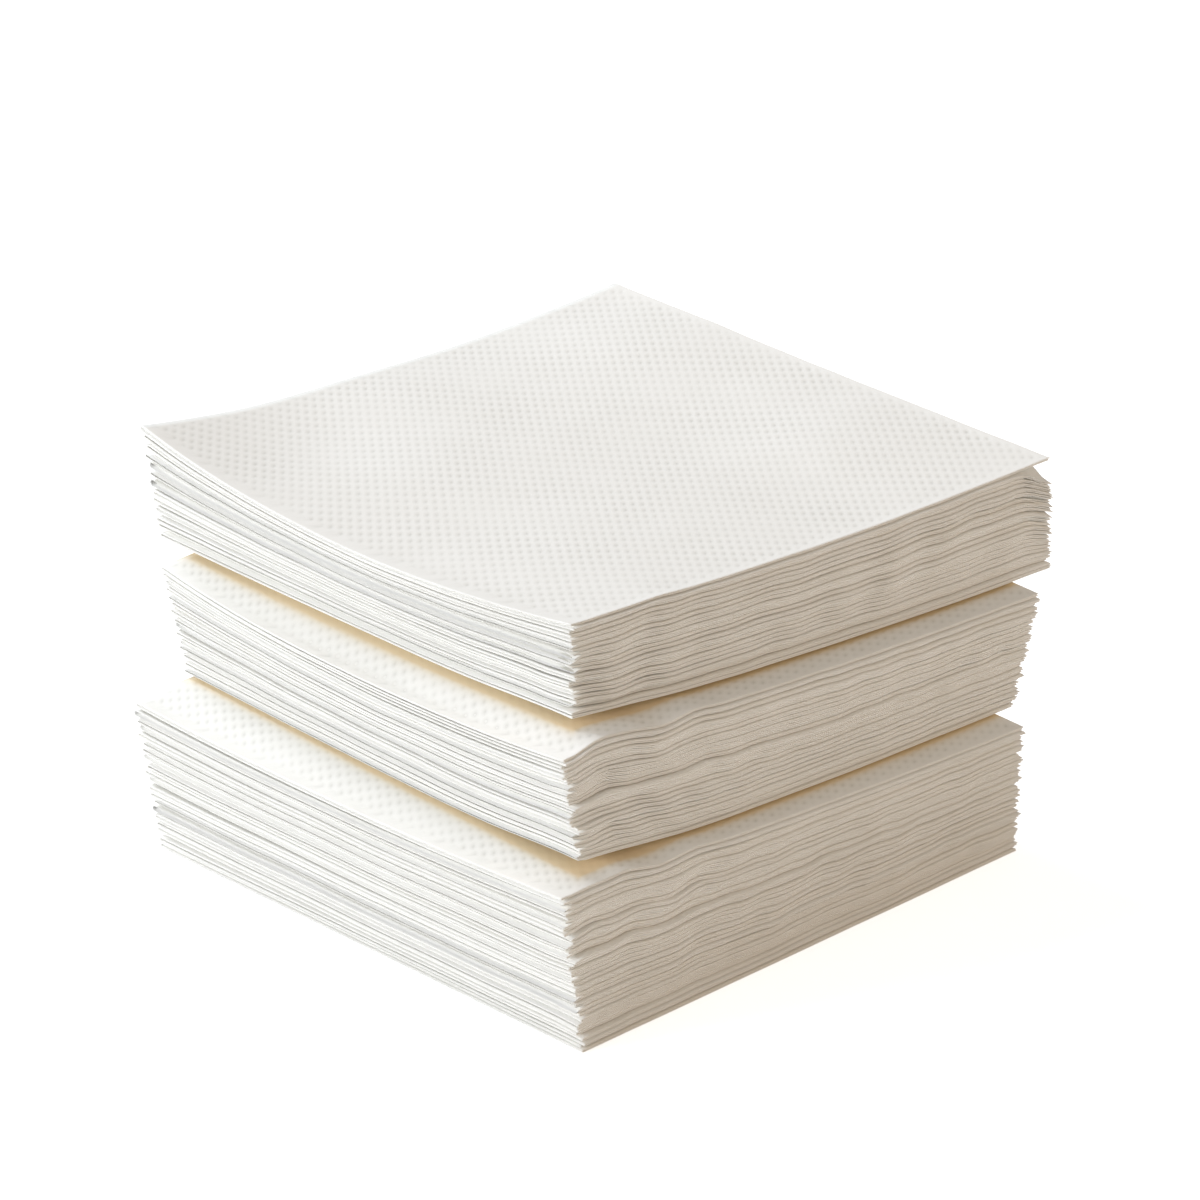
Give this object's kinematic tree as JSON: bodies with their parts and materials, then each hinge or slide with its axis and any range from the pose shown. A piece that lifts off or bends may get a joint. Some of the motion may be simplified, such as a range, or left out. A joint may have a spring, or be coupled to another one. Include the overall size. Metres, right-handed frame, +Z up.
{
  "type": "stack of paper napkins",
  "caption": "Stack of white embossed paper napkins, folded in quarters and laid in three bundles one on the other.",
  "frame": {"origin": "on the table, at the underside of the lowest napkin, near the middle of the lowest bundle", "axes": "+Z up; the folds that lie one on the other face -Y; the second fold faces -X; the cut edges face +X and +Y"},
  "size_m": [0.1386, 0.1442, 0.0826],
  "materials": {
    "napkin_paper": "soft matt embossed tissue"
  },
  "bodies": {
    "root": {"bottom_napkin_01": "napkin_paper", "bottom_napkin_02": "napkin_paper", "bottom_napkin_03": "napkin_paper", "bottom_napkin_04": "napkin_paper", "bottom_napkin_05": "napkin_paper", "bottom_napkin_06": "napkin_paper", "bottom_napkin_07": "napkin_paper", "bottom_napkin_08": "napkin_paper", "bottom_napkin_09": "napkin_paper", "bottom_napkin_10": "napkin_paper", "bottom_napkin_11": "napkin_paper", "bottom_napkin_12": "napkin_paper", "bottom_napkin_13": "napkin_paper", "bottom_napkin_14": "napkin_paper", "bottom_napkin_15": "napkin_paper", "bottom_napkin_16": "napkin_paper", "bottom_napkin_17": "napkin_paper", "bottom_napkin_18": "napkin_paper", "bottom_napkin_19": "napkin_paper", "bottom_napkin_20": "napkin_paper", "middle_napkin_01": "napkin_paper", "middle_napkin_02": "napkin_paper", "middle_napkin_03": "napkin_paper", "middle_napkin_04": "napkin_paper", "middle_napkin_05": "napkin_paper", "middle_napkin_06": "napkin_paper", "middle_napkin_07": "napkin_paper", "middle_napkin_08": "napkin_paper", "middle_napkin_09": "napkin_paper", "middle_napkin_10": "napkin_paper", "middle_napkin_11": "napkin_paper", "middle_napkin_12": "napkin_paper", "middle_napkin_13": "napkin_paper", "middle_napkin_14": "napkin_paper", "middle_napkin_15": "napkin_paper", "top_napkin_01": "napkin_paper", "top_napkin_02": "napkin_paper", "top_napkin_03": "napkin_paper", "top_napkin_04": "napkin_paper", "top_napkin_05": "napkin_paper", "top_napkin_06": "napkin_paper", "top_napkin_07": "napkin_paper", "top_napkin_08": "napkin_paper", "top_napkin_09": "napkin_paper", "top_napkin_10": "napkin_paper", "top_napkin_11": "napkin_paper", "top_napkin_12": "napkin_paper", "top_napkin_13": "napkin_paper"}
  },
  "joints": []
}
